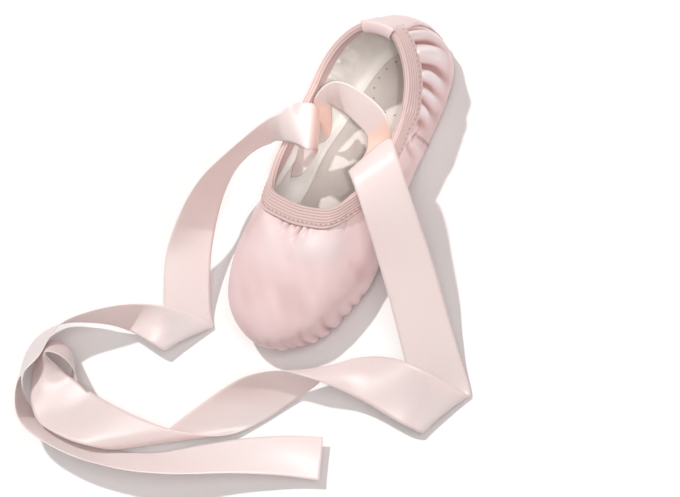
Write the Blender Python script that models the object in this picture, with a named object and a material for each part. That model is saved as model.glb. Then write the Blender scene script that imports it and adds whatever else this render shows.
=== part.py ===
"""Child's soft ballet slipper in satin: split suede sole, ribbed elastic collar and two ribbons.

Metres. The toe points along -Y, up is +Z, and the two pads stand on the plane z = 0.
"""

from functools import lru_cache

import bmesh
import bpy
import numpy as np

LENGTH = 0.190
HALF_WIDTH = 0.0393
HEIGHT = 0.0508
TOP_OF_PADS = 0.0018
WALL = 0.0014
GAP = 0.0003
BINDING_GAP = 0.0004
BINDING_GAP_INSIDE = 0.0007
ARCH = 0.0032
TOE_SPRING = 0.0022
BINDING_OUTSIDE = 0.0095
BINDING_INSIDE = 0.0072
BINDING_THICKNESS = 0.0010
TAB_WIDTH = 0.0195
TAB_LENGTH = 0.0480
TAB_INSIDE = 0.0055
TAB_THICKNESS = 0.0009
INSOLE_THICKNESS = 0.0012
PAD_OVERLAP = 0.0045
PAD_BEVEL = 0.0004
PAD_FLAT_INSET = 0.0100
RIBBON_THICKNESS = 0.0005

# A ribbon counts as folded flat on itself where the sum of its two directions is shorter than this.
SHARP_FOLD = 0.5

# How many places there are round each outline.
MERIDIANS = 88
PAD_PLACES = 56
HOLE_PLACES = 40
INSOLE_PLACES = 64

# Places along the shoe. The first is the origin's distance from the toe tip, and the others are
# measured from the origin, with the toe at the negative end.
MIDDLE = 0.503158 * LENGTH
TOE_LIFT_START = -0.352632 * LENGTH
TOE_LIFT_REACH = 0.100000 * LENGTH
ARCH_START = -0.052632 * LENGTH
ARCH_REACH = 0.263158 * LENGTH
FLOOR_TOE_EDGE = -0.451053 * LENGTH
FLOOR_TOE_MIDDLE = -0.310526 * LENGTH
FLOOR_MIDDLE_SHARE = 0.75

# How far each curve of the skin keeps its first direction, as a share of its reach.
FOOT_HANDLE = 0.60
BELLY_HANDLE = 0.55
RIM_HANDLE = 0.42

# One row for each meridian of the right half, from the toe tip round to the heel's back.
# Across is a share of HALF_WIDTH, along a share of LENGTH and up a share of HEIGHT.
# Lean is the angle in degrees between the skin at the rim and the vertical.
# foot_across, foot_along, belly_across, belly_along, belly_up, rim_across, rim_along, rim_up, lean
SECTIONS = [
    (0.000, 0.052, 0.000, 0.000, 0.299, 0.000, 0.362, 0.785, 79),
    (0.290, 0.072, 0.389, 0.024, 0.299, 0.283, 0.367, 0.796, 78),
    (0.551, 0.120, 0.722, 0.085, 0.295, 0.505, 0.380, 0.804, 72),
    (0.725, 0.195, 0.925, 0.182, 0.280, 0.633, 0.425, 0.776, 54),
    (0.797, 0.285, 1.000, 0.285, 0.258, 0.727, 0.481, 0.721, 38),
    (0.725, 0.412, 0.918, 0.412, 0.224, 0.768, 0.547, 0.692, 31),
    (0.664, 0.547, 0.845, 0.546, 0.187, 0.775, 0.615, 0.692, 29),
    (0.640, 0.682, 0.773, 0.682, 0.168, 0.751, 0.693, 0.729, 32),
    (0.616, 0.800, 0.732, 0.807, 0.161, 0.671, 0.779, 0.834, 35),
    (0.498, 0.901, 0.609, 0.922, 0.168, 0.478, 0.849, 0.940, 36),
    (0.266, 0.957, 0.333, 0.984, 0.187, 0.242, 0.890, 0.991, 37),
    (0.000, 0.974, 0.000, 1.000, 0.187, 0.000, 0.897, 1.000, 38),
]
COLUMN_SIZES = [HALF_WIDTH, LENGTH, HALF_WIDTH, LENGTH, HEIGHT, HALF_WIDTH, LENGTH, HEIGHT, 1]
ACROSS_COLUMNS = [0, 2, 5]

# Each pad is two half ellipses. Along the shoe the numbers are shares of LENGTH.
# widest place, reach to the toe, reach to the heel, half width in metres
FRONT_PAD = (0.245, 0.145, 0.220, 0.0304)
HEEL_PAD = (0.825, 0.115, 0.148, 0.0249)

# The ribbons' hand-chosen routes: each row is one place along a ribbon, from the shoe to the free end,
# and holds its two edges in millimetres.
# edge_x, edge_y, edge_z, other_x, other_y, other_z
LEFT_ROUTE = [
    (-30.2, 9.0, 26.0, -30.7, -6.0, 15.0),
    (-24.0, 12.5, 28.0, -20.0, -4.0, 21.5),
    (-17.0, 19.5, 34.0, -14.2, 7.5, 28.0),
    (-15.8, 25.8, 43.0, -9.6, 6.7, 36.0),
    (-17.2, 25.4, 48.5, -9.4, 2.7, 42.0),
    (-22.0, 23.3, 50.0, -12.9, 2.9, 43.0),
    (-23.2, 19.3, 55.7, -21.1, 4.7, 40.3),
    (-29.0, 14.1, 52.4, -29.4, 4.6, 38.6),
    (-32.8, 10.8, 52.4, -36.4, 4.8, 34.6),
    (-36.4, 6.4, 52.1, -42.8, 4.9, 27.9),
    (-44.0, -1.9, 48.9, -51.4, 0.9, 25.1),
    (-53.4, -15.2, 45.9, -59.4, -10.1, 22.1),
    (-61.7, -28.1, 42.8, -62.2, -19.7, 19.2),
    (-68.2, -42.5, 36.5, -61.5, -32.0, 17.5),
    (-72.9, -56.8, 28.4, -58.3, -45.9, 15.6),
    (-74.4, -69.1, 21.9, -55.5, -58.5, 12.1),
    (-70.1, -83.4, 17.0, -50.8, -72.6, 7.0),
    (-66.2, -94.8, 12.0, -46.8, -82.3, 3.4),
    (-61.3, -105.9, 8.5, -43.2, -88.6, 1.5),
    (-56.6, -114.0, 6.0, -39.9, -92.2, 1.2),
    (-59.9, -113.8, 9.6, -42.9, -90.1, 5.1),
    (-67.8, -112.7, 11.2, -57.5, -91.3, 11.6),
    (-83.8, -110.3, 6.9, -74.5, -96.6, 18.5),
    (-99.5, -110.4, 4.5, -87.7, -104.5, 23.5),
    (-113.5, -113.4, 3.5, -99.9, -112.5, 24.5),
    (-126.4, -117.4, 2.7, -113.4, -122.7, 23.3),
    (-134.7, -124.8, 3.7, -118.0, -133.4, 20.3),
    (-138.4, -134.5, 5.1, -119.0, -142.1, 18.9),
    (-139.6, -144.4, 3.4, -121.5, -150.0, 19.6),
    (-137.4, -153.6, 1.2, -122.9, -158.8, 20.8),
    (-130.0, -161.8, 1.0, -117.6, -170.3, 21.0),
    (-117.3, -168.8, 0.6, -108.0, -179.2, 21.4),
    (-101.1, -172.4, 1.2, -90.6, -183.7, 20.8),
    (-82.1, -173.9, 2.1, -68.6, -185.1, 19.9),
    (-65.5, -172.7, 2.4, -51.1, -183.6, 19.6),
    (-48.5, -169.0, 2.7, -34.4, -181.2, 19.3),
    (-31.9, -163.3, 2.7, -17.6, -176.6, 18.3),
    (-16.4, -155.0, 3.8, -1.2, -170.5, 16.2),
    (-0.3, -146.5, 4.3, 14.1, -163.5, 13.7),
    (17.4, -138.5, 4.9, 30.9, -157.0, 11.1),
    (35.7, -131.8, 6.0, 47.7, -151.3, 8.0),
    (53.4, -126.6, 6.3, 62.6, -147.5, 5.7),
]
RIGHT_ROUTE = [
    (-29.6, 22.5, 26.0, -29.6, 16.0, 13.0),
    (-25.0, 22.5, 29.5, -26.2, 17.0, 13.5),
    (-20.5, 23.0, 32.5, -21.5, 19.0, 15.5),
    (-17.6, 22.4, 36.0, -17.8, 22.5, 20.0),
    (-19.5, 26.4, 41.0, -18.1, 28.8, 25.0),
    (-17.2, 27.7, 48.1, -20.1, 34.9, 28.9),
    (-12.5, 34.3, 52.8, -16.6, 33.4, 30.2),
    (-6.1, 39.4, 53.2, -9.0, 31.2, 33.8),
    (5.5, 38.7, 52.5, -1.8, 28.8, 36.5),
    (14.7, 36.8, 48.6, 3.3, 26.6, 35.4),
    (22.3, 33.7, 43.8, 8.6, 24.5, 32.2),
    (25.7, 29.1, 38.6, 11.1, 21.9, 29.4),
    (26.1, 25.2, 32.7, 14.0, 14.5, 29.3),
    (25.4, 21.8, 30.5, 14.8, 5.9, 32.7),
    (26.2, 21.6, 37.4, 16.0, 0.2, 37.6),
    (30.9, 22.5, 40.2, 17.8, -1.5, 41.8),
    (38.5, 15.7, 41.7, 23.8, -5.6, 45.3),
    (45.4, 8.1, 39.9, 30.2, -11.9, 44.1),
    (55.0, -3.5, 34.0, 39.5, -22.1, 41.0),
    (67.5, -18.1, 27.0, 51.2, -36.3, 35.0),
    (79.3, -32.4, 20.2, 62.5, -51.1, 27.8),
    (88.5, -45.2, 13.5, 71.3, -64.0, 20.0),
    (97.5, -56.8, 8.1, 80.6, -77.9, 12.3),
    (105.9, -67.6, 3.2, 91.1, -91.5, 6.3),
    (117.0, -80.4, 1.0, 103.4, -106.7, 2.2),
    (112.8, -80.2, 5.0, 98.9, -107.1, 6.2),
    (105.4, -79.8, 8.8, 92.8, -107.0, 8.8),
    (93.6, -78.9, 13.0, 82.7, -105.6, 9.4),
    (80.8, -77.9, 14.1, 69.3, -103.5, 10.9),
    (68.9, -78.6, 11.6, 56.9, -102.7, 13.0),
    (58.9, -80.2, 8.5, 45.6, -103.1, 17.5),
    (51.2, -84.4, 9.7, 35.7, -104.0, 20.3),
    (44.9, -90.4, 11.6, 22.5, -105.0, 19.4),
    (40.1, -95.1, 8.2, 11.7, -109.1, 18.8),
    (35.1, -100.1, 2.9, 2.7, -114.4, 18.1),
    (28.6, -109.8, 2.0, -6.9, -121.1, 14.0),
    (22.2, -118.5, 1.2, -16.4, -130.0, 10.0),
    (16.0, -126.9, 1.2, -25.0, -139.7, 7.0),
    (9.2, -134.6, 1.8, -33.4, -150.0, 4.0),
    (2.3, -141.4, 3.5, -41.5, -160.7, 2.2),
    (-6.1, -146.4, 6.5, -50.5, -167.2, 3.2),
    (-17.2, -149.8, 9.0, -57.3, -172.2, 7.0),
    (-33.3, -151.9, 10.0, -65.4, -174.9, 11.0),
    (-50.2, -151.9, 10.0, -74.2, -176.5, 13.0),
    (-65.4, -150.9, 9.5, -84.8, -176.8, 13.5),
    (-82.3, -148.8, 6.3, -94.8, -175.8, 13.7),
    (-94.4, -146.6, 8.3, -105.3, -173.6, 12.7),
    (-105.3, -144.1, 9.3, -114.3, -165.9, 12.7),
    (-110.2, -142.6, 16.5, -124.3, -154.2, 8.5),
    (-112.9, -141.5, 23.3, -130.3, -142.0, 5.7),
    (-110.9, -140.1, 25.6, -127.6, -132.0, 9.4),
    (-102.1, -139.6, 27.4, -117.7, -129.7, 10.6),
    (-95.8, -140.9, 25.0, -110.6, -131.5, 9.0),
    (-92.5, -143.6, 20.2, -107.7, -135.2, 5.8),
    (-91.5, -147.0, 15.5, -105.8, -143.2, 3.5),
]


def section_loop():
    """The table in metres and radians, both halves, as one closed loop of rows."""
    right = np.array(SECTIONS) * COLUMN_SIZES
    right[:, [1, 3, 6]] -= MIDDLE
    right[:, 8] = np.radians(right[:, 8])
    left = right[-2:0:-1].copy()
    left[:, ACROSS_COLUMNS] *= -1
    return np.vstack([right, left])


def bend_of(rows):
    """Second derivatives of the smooth closed curve through the rows."""
    count = len(rows)
    step = np.eye(count)
    matrix = 4 * step + np.roll(step, 1, axis=1) + np.roll(step, -1, axis=1)
    right_side = 6 * (np.roll(rows, 1, axis=0) - 2 * rows + np.roll(rows, -1, axis=0))
    return np.linalg.solve(matrix, right_side)


ROWS = section_loop()
BENDS = bend_of(ROWS)


def columns_at(turn):
    """All columns of the table at turn, where 0 is the toe tip and 1 is once round."""
    place = (turn % 1.0) * len(ROWS)
    low = int(place) % len(ROWS)
    high = (low + 1) % len(ROWS)
    part = place - int(place)
    straight = ROWS[low] * (1 - part) + ROWS[high] * part
    curve = BENDS[low] * ((1 - part) ** 3 - (1 - part)) + BENDS[high] * (part**3 - part)
    return straight + curve / 6


def underside(along):
    """Height of the upper's underside: level over the pads, raised at the arch and the toe."""
    toe = max(0.0, TOE_LIFT_START - along) / TOE_LIFT_REACH
    arch = min(max((along - ARCH_START) / ARCH_REACH, 0.0), 1.0)
    return TOP_OF_PADS + GAP + TOE_SPRING * toe**2 + ARCH * np.sin(np.pi * arch) ** 2


def bezier(ends, share):
    a, b, c, d = ends
    rest = 1 - share
    return rest**3 * a + 3 * rest**2 * share * b + 3 * rest * share**2 * c + share**3 * d


def skin(turn, level):
    """Point of the outer skin: level -1 is the bottom edge, 0 the widest place, 1 the rim."""
    row = columns_at(turn)
    foot = np.array([row[0], row[1], underside(row[1])])
    belly = row[2:5]
    rim = row[5:8]
    if level < 0:
        side = belly - foot
        flat = np.array([side[0], side[1], 0.0])
        rise = np.array([0.0, 0.0, side[2]])
        return bezier((foot, foot + FOOT_HANDLE * flat, belly - FOOT_HANDLE * rise, belly), level + 1)
    inward = rim - belly
    chord = np.linalg.norm(inward)
    rise = np.array([0.0, 0.0, BELLY_HANDLE * inward[2]])
    inward = np.array([inward[0], inward[1], 0.0]) / np.hypot(inward[0], inward[1])
    slope = inward * np.sin(row[8]) + np.array([0.0, 0.0, np.cos(row[8])])
    return bezier((belly, belly + rise, rim - RIM_HANDLE * chord * slope, rim), level)


def skin_normal(turn, level):
    level = min(level, 0.999)
    ahead = skin(turn + 0.002, level) - skin(turn - 0.002, level)
    upward = skin(turn, level + 0.001) - skin(turn, level - 0.001)
    normal = np.cross(ahead, upward)
    return normal / np.linalg.norm(normal)


@lru_cache(maxsize=None)
def profile(turn):
    """Levels down one meridian, the way travelled from the rim to each, and the direction at the rim."""
    levels = np.linspace(1.0, -1.0, 61)
    points = np.array([skin(turn, level) for level in levels])
    steps = np.linalg.norm(np.diff(points, axis=0), axis=1)
    travelled = np.concatenate([[0.0], np.cumsum(steps)])
    return levels, travelled, (points[0] - points[1]) / steps[0]


def wrap(turn, down, out):
    """Point a distance down from the rim along the skin, moved out of it. Above the rim down is negative."""
    levels, travelled, upward = profile(turn)
    if down < 0:
        return skin(turn, 1.0) - down * upward + out * skin_normal(turn, 1.0)
    level = float(np.interp(down, travelled, levels))
    return skin(turn, level) + out * skin_normal(turn, level)


def turn_at(across, down):
    """Turn near the heel's back where the skin, this far down, is at this distance across."""
    turns = np.linspace(0.40, 0.60, 81)
    values = np.array([wrap(turn, down, 0.0)[0] for turn in turns])
    return float(np.interp(-across, -values, turns))


def floor_point(turn, share):
    """Point of the upper's underside: share 1 is the bottom edge and 0 the middle line."""
    row = columns_at(turn)
    edge = np.array([row[0], row[1]])
    middle = np.array([0.0, FLOOR_TOE_MIDDLE + (row[1] - FLOOR_TOE_EDGE) * FLOOR_MIDDLE_SHARE])
    flat = middle * (1 - share) + edge * share
    return np.array([flat[0], flat[1], underside(flat[1])])


def new_object(name, points, faces, collection):
    mesh = bpy.data.meshes.new(name)
    mesh.from_pydata([tuple(point) for point in points], [], faces)
    body = bmesh.new()
    body.from_mesh(mesh)
    bmesh.ops.remove_doubles(body, verts=body.verts, dist=1e-7)
    bmesh.ops.recalc_face_normals(body, faces=body.faces)
    body.to_mesh(mesh)
    body.free()
    made = bpy.data.objects.new(name, mesh)
    collection.objects.link(made)
    return made


def strips(rings, closed):
    """Quads between neighbouring rings of equal length, given as lists of point numbers."""
    faces = []
    for first, second in zip(rings, rings[1:]):
        count = len(first)
        for i in range(count if closed else count - 1):
            j = (i + 1) % count
            faces.append((first[i], first[j], second[j], second[i]))
    return faces


def grid(points_by_ring, closed):
    """Flat list of points and the faces that join the rings."""
    count = len(points_by_ring[0])
    rings = [[k * count + i for i in range(count)] for k in range(len(points_by_ring))]
    return [point for ring in points_by_ring for point in ring], strips(rings, closed)


def material(name, color, roughness):
    made = bpy.data.materials.new(name)
    made.use_nodes = True
    shader = made.node_tree.nodes["Principled BSDF"]
    shader.inputs["Base Color"].default_value = (*color, 1.0)
    shader.inputs["Roughness"].default_value = roughness
    return made


def middle_row(shared, count):
    """Point numbers of the middle line: each point serves the meridian on both sides."""
    return [shared + min(i, count - i) for i in range(count)]


def bowl(depth):
    """Rings of a bowl, this far inside the outer skin, from the rim down and in to the middle line."""
    turns = [i / MERIDIANS for i in range(MERIDIANS)]
    levels = [1.0, 0.86, 0.72, 0.58, 0.44, 0.30, 0.15, 0.0, -0.25, -0.5, -0.75, -1.0]
    rings = []
    for level in levels:
        ring = []
        for turn in turns:
            ring.append(skin(turn, level) - depth * skin_normal(turn, max(level, -0.999)))
        rings.append(ring)
    for share in (0.84, 0.62, 0.34):
        ring = [floor_point(turn, share) + np.array([0.0, 0.0, depth]) for turn in turns]
        rings.append(ring)
    middle = []
    for i in range(MERIDIANS // 2 + 1):
        middle.append(floor_point(i / MERIDIANS, 0.0) + np.array([0.0, 0.0, depth]))
    return rings, middle


def make_upper(collection):
    points = []
    faces = []
    ends = []
    for depth in (0.0, WALL):
        rings, middle = bowl(depth)
        first = len(points)
        ring_points, ring_faces = grid(rings, True)
        points += ring_points
        faces += [tuple(first + i for i in face) for face in ring_faces]
        last = first + (len(rings) - 1) * MERIDIANS
        line = middle_row(len(points), MERIDIANS)
        points += middle
        for i in range(MERIDIANS):
            j = (i + 1) % MERIDIANS
            corners = [last + i, last + j, line[j], line[i]]
            faces.append(tuple(dict.fromkeys(corners)))
        ends.append(list(range(first, first + MERIDIANS)))
    faces += strips(ends, True)
    return new_object("upper", points, faces, collection)


def pad_outline(pad, inset, count):
    """Points round a pad, drawn in by inset, at height 0."""
    widest, to_toe, to_heel, half_width = pad
    outline = []
    for i in range(count):
        angle = 2 * np.pi * i / count
        reach = to_heel if np.sin(angle) > 0 else to_toe
        along = widest * LENGTH - MIDDLE + (reach * LENGTH - inset) * np.sin(angle)
        outline.append(np.array([(half_width - inset) * np.cos(angle), along, 0.0]))
    return outline


def make_pad(name, pad, collection):
    """A suede pad: level underneath, but for the toe end of the front one, which lifts a little."""
    section = [
        (PAD_FLAT_INSET, 0.0),
        (PAD_BEVEL, 0.0),
        (0.0, PAD_BEVEL),
        (0.0, TOP_OF_PADS),
        (PAD_FLAT_INSET, TOP_OF_PADS),
    ]
    rings = []
    for inset, height in section:
        ring = []
        for point in pad_outline(pad, inset, PAD_PLACES):
            lift = underside(point[1]) - TOP_OF_PADS - GAP if point[1] < TOE_LIFT_START else 0.0
            ring.append(point + np.array([0.0, 0.0, height + lift]))
        rings.append(ring)
    points, faces = grid(rings, True)
    faces.append(tuple(range(PAD_PLACES))[::-1])
    faces.append(tuple(range(len(points) - PAD_PLACES, len(points))))
    return new_object(name, points, faces, collection)


def cut_hole(upper, name, pad, cutters):
    """Cut the upper away over a pad, so that the pad closes it."""
    outline = pad_outline(pad, PAD_OVERLAP, HOLE_PLACES)
    rings = []
    for height in (-TOP_OF_PADS, 2 * (TOP_OF_PADS + WALL)):
        rings.append([point + np.array([0, 0, height]) for point in outline])
    points, faces = grid(rings, True)
    faces.append(tuple(range(HOLE_PLACES))[::-1])
    faces.append(tuple(range(HOLE_PLACES, 2 * HOLE_PLACES)))
    cutter = new_object(name, points, faces, cutters)
    cutter.hide_render = True
    cutter.display_type = "WIRE"
    cut = upper.modifiers.new(name, "BOOLEAN")
    cut.operation = "DIFFERENCE"
    cut.solver = "EXACT"
    cut.object = cutter


def make_insole(collection):
    """Canvas sock that lies on the upper's floor."""
    count = INSOLE_PLACES
    rest = WALL + GAP
    points = []
    faces = []
    ends = []
    for height in (rest, rest + INSOLE_THICKNESS):
        rings = []
        for share in (0.90, 0.60, 0.30):
            ring = [floor_point(i / count, share) + np.array([0, 0, height]) for i in range(count)]
            rings.append(ring)
        first = len(points)
        ring_points, ring_faces = grid(rings, True)
        points += ring_points
        faces += [tuple(first + i for i in face) for face in ring_faces]
        line = middle_row(len(points), count)
        points += [floor_point(i / count, 0.0) + np.array([0, 0, height]) for i in range(count // 2 + 1)]
        last = first + 2 * count
        for i in range(count):
            j = (i + 1) % count
            corners = [last + i, last + j, line[j], line[i]]
            faces.append(tuple(dict.fromkeys(corners)))
        ends.append(list(range(first, first + count)))
    faces += strips(ends, True)
    return new_object("insole", points, faces, collection)


def binding_section():
    """Section of the band, folded over the rim: pairs of distance down the skin and distance out of it."""
    near = BINDING_GAP
    far = BINDING_GAP + BINDING_THICKNESS
    inner_near = -WALL - BINDING_GAP_INSIDE
    inner_far = inner_near - BINDING_THICKNESS
    return [
        (BINDING_OUTSIDE, near),
        (BINDING_OUTSIDE, far),
        (BINDING_OUTSIDE / 2, far),
        (0.0, far),
        (-far, 0.0),
        (-far, -WALL),
        (0.0, inner_far),
        (BINDING_INSIDE, inner_far),
        (BINDING_INSIDE, inner_near),
        (0.0, inner_near),
        (-near, -WALL),
        (-near, 0.0),
        (0.0, near),
        (BINDING_OUTSIDE / 2, near),
    ]


def make_binding(collection):
    """Elastic band along the rim, open at the heel tab."""
    stop = TAB_WIDTH / 2 + GAP
    last = turn_at(stop, BINDING_OUTSIDE) - 0.004
    reach = int(last * MERIDIANS)
    between = [i / MERIDIANS for i in range(-reach, reach + 1)]
    count = len(between) + 2
    rings = []
    for down, out in binding_section():
        end = turn_at(stop, max(down, 0.0))
        rings.append([wrap(turn, down, out) for turn in [-end, *between, end]])
    rings.append(rings[0])
    points, faces = grid(rings, False)
    size = len(rings) - 1
    faces.append(tuple(k * count for k in range(size)))
    faces.append(tuple(k * count + count - 1 for k in range(size))[::-1])
    return new_object("collar_binding", points, faces, collection)


def tab_profile(out):
    """Places up the back, over the rim and down inside, as distance down and distance out."""
    inside = -WALL - out
    outside = [(down, out) for down in np.linspace(TAB_LENGTH, 0.0, 9)]
    over = [(-out, 0.0), (-out, -WALL)]
    return outside + over + [(down, inside) for down in (0.0, TAB_INSIDE / 2, TAB_INSIDE)]


def make_tab(collection):
    """Back stay that runs up the heel and folds over the rim."""
    columns = np.linspace(-TAB_WIDTH / 2, TAB_WIDTH / 2, 7)
    sheets = []
    for out in (GAP, GAP + TAB_THICKNESS):
        for down, away in tab_profile(out):
            turns = [turn_at(across, max(down, 0.0)) for across in columns]
            sheets.append([wrap(turn, down, away) for turn in turns])
    half = len(sheets) // 2
    loop = sheets[:half] + sheets[half:][::-1]
    loop.append(loop[0])
    points, faces = grid(loop, False)
    count = len(columns)
    for side in (0, count - 1):
        for k in range(half - 1):
            other = 2 * half - 1 - k
            faces.append(tuple(row * count + side for row in (k, k + 1, other - 1, other)))
    return new_object("heel_tab", points, faces, collection)


def facing(sides):
    """Direction across the thickness at each row of a ribbon, also where it is folded flat on itself."""
    travel = np.diff(sides.mean(axis=1), axis=0)
    before = np.vstack([travel[:1], travel])
    after = np.vstack([travel, travel[-1:]])
    directions = []
    for side, arriving, leaving in zip(sides, before, after):
        across = side[1] - side[0]
        across = across / np.linalg.norm(across)
        arriving = arriving - (arriving @ across) * across
        arriving = arriving / np.linalg.norm(arriving)
        leaving = leaving - (leaving @ across) * across
        leaving = leaving / np.linalg.norm(leaving)
        normal = np.cross(arriving, across)
        direction = normal + np.cross(leaving, across)
        if np.linalg.norm(direction) < SHARP_FOLD:
            direction = leaving - arriving
            direction = direction * np.sign(direction @ normal)
        directions.append(direction / np.linalg.norm(direction))
    return np.array(directions)


def ribbon_faces(row, shorter_first):
    """Triangles between a row of four corners and the next: both faces are cut along the same diagonal."""
    a, b, c, d, e, f, g, h = range(4 * row, 4 * row + 8)
    edges = [(b, c, g), (b, g, f), (d, a, e), (d, e, h)]
    if shorter_first:
        return edges + [(a, b, f), (a, f, e), (d, g, c), (d, h, g)]
    return edges + [(a, b, e), (b, f, e), (d, h, c), (c, h, g)]


def make_ribbon(name, route, collection):
    """A thin strip along a route."""
    sides = np.array(route).reshape(-1, 2, 3) / 1000
    half = facing(sides) * RIBBON_THICKNESS / 2
    low = sides - half[:, None]
    high = sides + half[:, None]
    points = list(np.stack([low[:, 0], low[:, 1], high[:, 1], high[:, 0]], axis=1).reshape(-1, 3))
    faces = []
    for row in range(len(sides) - 1):
        first = np.linalg.norm(sides[row, 0] - sides[row + 1, 1])
        second = np.linalg.norm(sides[row, 1] - sides[row + 1, 0])
        faces += ribbon_faces(row, first < second)
    last = len(points)
    faces.append((0, 3, 2, 1))
    faces.append((last - 4, last - 3, last - 2, last - 1))
    return new_object(name, points, faces, collection)


def build():
    for old in list(bpy.data.objects):
        bpy.data.objects.remove(old)
    scene = bpy.context.scene.collection
    part = bpy.data.collections.new("ballet_slipper")
    cutters = bpy.data.collections.new("cutters")
    scene.children.link(part)
    scene.children.link(cutters)
    cutters.hide_render = True

    upper = make_upper(part)
    cut_hole(upper, "front_hole", FRONT_PAD, cutters)
    cut_hole(upper, "heel_hole", HEEL_PAD, cutters)
    upper.data.materials.append(material("upper", (0.86, 0.60, 0.60), 0.35))
    front = make_pad("front_sole", FRONT_PAD, part)
    front.data.materials.append(material("front_sole", (0.50, 0.43, 0.44), 0.90))
    heel = make_pad("heel_sole", HEEL_PAD, part)
    heel.data.materials.append(material("heel_sole", (0.50, 0.43, 0.44), 0.90))
    insole = make_insole(part)
    insole.data.materials.append(material("insole", (0.68, 0.63, 0.57), 0.90))
    binding = make_binding(part)
    binding.data.materials.append(material("collar_binding", (0.72, 0.46, 0.46), 0.60))
    tab = make_tab(part)
    tab.data.materials.append(material("heel_tab", (0.80, 0.52, 0.52), 0.35))
    left = make_ribbon("ribbon_left", LEFT_ROUTE, part)
    left.data.materials.append(material("ribbon_left", (0.88, 0.68, 0.67), 0.30))
    right = make_ribbon("ribbon_right", RIGHT_ROUTE, part)
    right.data.materials.append(material("ribbon_right", (0.88, 0.68, 0.67), 0.30))


build()
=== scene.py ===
"""A child's soft satin ballet slipper with its two ribbons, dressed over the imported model.

The toe points along -Y, up is +Z, and the two suede pads stand on z = 0. Lengths are in metres
unless a name says mm. A place on the shoe's skin is given by its turn, which is 0 at the toe tip,
goes round by the right side and is 0.5 at the heel's back, and by its distance down from the rim.
"""

import math

import bpy
import numpy as np
from mathutils import Euler, Matrix, Vector


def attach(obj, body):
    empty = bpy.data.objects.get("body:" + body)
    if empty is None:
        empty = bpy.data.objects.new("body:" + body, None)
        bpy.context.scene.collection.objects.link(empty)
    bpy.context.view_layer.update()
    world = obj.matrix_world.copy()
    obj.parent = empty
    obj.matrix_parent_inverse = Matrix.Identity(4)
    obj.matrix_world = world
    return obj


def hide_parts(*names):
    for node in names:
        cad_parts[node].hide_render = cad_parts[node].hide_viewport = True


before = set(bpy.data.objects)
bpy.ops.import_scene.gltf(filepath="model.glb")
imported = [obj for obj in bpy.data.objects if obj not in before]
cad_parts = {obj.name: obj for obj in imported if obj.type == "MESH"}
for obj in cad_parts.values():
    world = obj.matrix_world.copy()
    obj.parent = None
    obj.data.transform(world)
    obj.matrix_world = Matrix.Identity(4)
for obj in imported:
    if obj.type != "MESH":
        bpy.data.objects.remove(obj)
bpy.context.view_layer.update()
bpy.ops.object.select_all(action="DESELECT")

# Camera
# It looks down into the shoe from over the right side of the toe, as the photograph does. It is
# rolled, because the shoe stands flat on its pads here and leans over in the photograph.
AIM = Vector((0.0, -0.0006, 0.0190))
CAMERA_TURN = math.radians(65.7)
CAMERA_HEIGHT = math.radians(52.8)
CAMERA_ROLL = math.radians(-42.9)
CAMERA_AWAY = 1.4553
LENS_MM = 149.6
LENS_SHIFT = (0.0010, -0.0999)


def add_object(name, data):
    """A new object in the scene that holds this camera, light or mesh."""
    made = bpy.data.objects.new(name, data)
    bpy.context.scene.collection.objects.link(made)
    return made


camera_data = bpy.data.cameras.new("camera")
camera_data.lens = LENS_MM
camera_data.shift_x, camera_data.shift_y = LENS_SHIFT
camera = add_object("camera", camera_data)
facing = Euler((math.pi / 2 - CAMERA_HEIGHT, 0.0, CAMERA_TURN)).to_matrix()
facing = facing @ Matrix.Rotation(CAMERA_ROLL, 3, "Z")
camera.location = AIM + facing @ Vector((0.0, 0.0, CAMERA_AWAY))
camera.rotation_euler = facing.to_euler()
bpy.context.scene.camera = camera

# Ribbons
# Two lengths of double-faced satin ribbon, 25 mm wide, with a firm woven edge. They are sewn to the
# lining low inside the left wall. One goes over the left rim, the other over the right one, and both
# lie loose on the floor, where each is folded over once and rolls on its edge.
RIBBON_WIDTH = 0.025
RIBBON_THICKNESS = 0.0004
RIBBON_PINK = (0.850, 0.725, 0.712, 1.0)
RIBBON_SHADE = (0.815, 0.635, 0.628, 1.0)
# Painted glow: a peach colour for the light that comes through the ribbon.
RIBBON_PAINTED_GLOW = (0.860, 0.570, 0.500, 1.0)
RIBBON_COLUMNS = 16
ROUTE_STEPS = 12
ROUTE_SMOOTHING = 30
CUP_LENGTH = 0.021
ABOVE_FLOOR = 0.0001

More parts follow.
